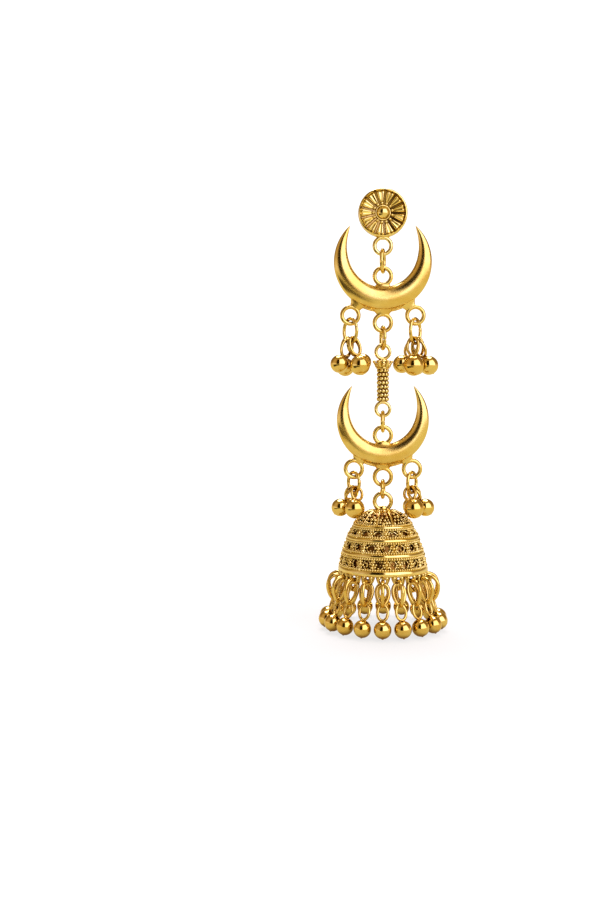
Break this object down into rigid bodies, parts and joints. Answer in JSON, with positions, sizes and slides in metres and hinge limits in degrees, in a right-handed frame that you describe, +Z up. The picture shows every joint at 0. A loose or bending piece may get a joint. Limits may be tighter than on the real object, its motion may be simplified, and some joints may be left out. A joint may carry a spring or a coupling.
{
  "type": "jhumka earring",
  "caption": "Long jhumka drop earring: sun disc stud, puffed crescents with bell clusters, ribbed bar and an openwork bell dome with a beaded fringe.",
  "frame": {"origin": "where the ear post meets the flat back of the disc", "axes": "+Z up along the hanging chain, -Y the front face of the disc, +Y along the ear post, +X to the viewer's right"},
  "size_m": [0.027, 0.027, 0.0919],
  "materials": {
    "polished_gold": "polished gold plate on brass wire and balls",
    "satin_gold": "satin gold plate with fine brushed grain",
    "antique_gold": "gold plate with dark antique recesses"
  },
  "bodies": {
    "stud": {"ear_stud": "antique_gold"},
    "upper_drop": {"link_1": "polished_gold", "upper_crescent": "satin_gold", "upper_cluster_link_left": "polished_gold", "upper_bell_left_1": "polished_gold", "upper_bell_left_2": "polished_gold", "upper_bell_left_3": "polished_gold", "upper_bell_left_4": "polished_gold", "upper_cluster_link_right": "polished_gold", "upper_bell_right_1": "polished_gold", "upper_bell_right_2": "polished_gold", "upper_bell_right_3": "polished_gold", "upper_bell_right_4": "polished_gold"},
    "bar_drop": {"link_2": "polished_gold", "centre_bar": "antique_gold"},
    "lower_drop": {"link_3": "polished_gold", "lower_crescent": "satin_gold", "lower_cluster_link_left": "polished_gold", "lower_bell_left_1": "polished_gold", "lower_bell_left_2": "polished_gold", "lower_bell_left_3": "polished_gold", "lower_cluster_link_right": "polished_gold", "lower_bell_right_1": "polished_gold", "lower_bell_right_2": "polished_gold", "lower_bell_right_3": "polished_gold"},
    "jhumka": {"link_4": "polished_gold", "jhumka_dome": "antique_gold", "fringe_strand_1": "polished_gold", "fringe_strand_2": "polished_gold", "fringe_strand_3": "polished_gold", "fringe_strand_4": "polished_gold", "fringe_strand_5": "polished_gold", "fringe_strand_6": "polished_gold", "fringe_strand_7": "polished_gold", "fringe_strand_8": "polished_gold", "fringe_strand_9": "polished_gold", "fringe_strand_10": "polished_gold", "fringe_strand_11": "polished_gold", "fringe_strand_12": "polished_gold", "fringe_strand_13": "polished_gold", "fringe_strand_14": "polished_gold", "fringe_strand_15": "polished_gold", "fringe_strand_16": "polished_gold", "fringe_strand_17": "polished_gold", "fringe_strand_18": "polished_gold"}
  },
  "joints": [
    {"name": "upper_swing", "type": "hinge", "parent": "stud", "child": "upper_drop", "pos_m": [0, -0.0009, -0.00869], "axis": [1, 0, 0], "range_deg": [-30, 30]},
    {"name": "bar_swing", "type": "hinge", "parent": "upper_drop", "child": "bar_drop", "pos_m": [0, -0.0009, -0.02486], "axis": [1, 0, 0], "range_deg": [-30, 30]},
    {"name": "lower_swing", "type": "hinge", "parent": "bar_drop", "child": "lower_drop", "pos_m": [0, -0.0009, -0.04265], "axis": [1, 0, 0], "range_deg": [-30, 30]},
    {"name": "jhumka_swing", "type": "hinge", "parent": "lower_drop", "child": "jhumka", "pos_m": [0, -0.0009, -0.05716], "axis": [1, 0, 0], "range_deg": [-12, 12]}
  ]
}
